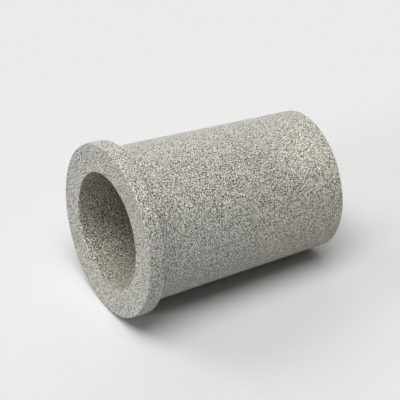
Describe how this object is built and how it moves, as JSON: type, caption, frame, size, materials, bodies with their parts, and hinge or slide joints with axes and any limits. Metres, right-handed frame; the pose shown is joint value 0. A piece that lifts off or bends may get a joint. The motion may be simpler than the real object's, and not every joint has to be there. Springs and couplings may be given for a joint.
{
  "type": "sintered filter element",
  "caption": "Flanged round cup of sintered metal powder with a straight blind bore, a slightly drafted porous wall and a closed end, which filters what passes through the wall.",
  "frame": {"origin": "centre of the closed end's outer face, on which the cup stands", "axes": "+Z along the cup's axis, from the closed end towards the flanged mouth"},
  "size_m": [0.0336, 0.0334, 0.044],
  "materials": {
    "sintered_steel": "as sintered: matt, granular and porous, with fine glints from the powder grains"
  },
  "bodies": {
    "root": {"filter_element": "sintered_steel"}
  },
  "joints": []
}
